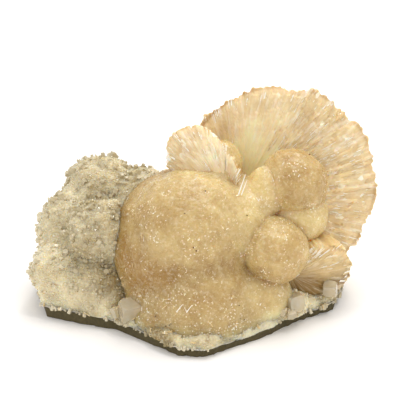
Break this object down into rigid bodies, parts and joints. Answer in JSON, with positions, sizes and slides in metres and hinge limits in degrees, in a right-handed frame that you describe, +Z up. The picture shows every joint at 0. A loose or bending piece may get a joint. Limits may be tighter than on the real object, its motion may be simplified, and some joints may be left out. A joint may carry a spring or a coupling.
{
  "type": "stilbite specimen",
  "caption": "Loose stilbite cluster: an upright shell-shaped fan and rounded balls of cream blade crystals on a rough crust of small pale crystals.",
  "frame": {"origin": "centre of the small flat spot on the underside that the specimen rests on", "axes": "+Z up; +X along the longest side, to the right of a viewer who sees the open face of the tall fan; +Y away from that viewer"},
  "size_m": [0.112, 0.0737, 0.0686],
  "materials": {
    "stilbite": "cream to tan, translucent, pearly on the blades",
    "crust": "pale grey cream, frosted with small glassy crystals",
    "clear_crystal": "colourless, glassy, slightly cloudy"
  },
  "bodies": {
    "root": {"stilbite": "stilbite", "crust": "crust", "clear_crystal_left": "clear_crystal", "clear_crystal_middle": "clear_crystal", "clear_crystal_right": "clear_crystal"}
  },
  "joints": []
}
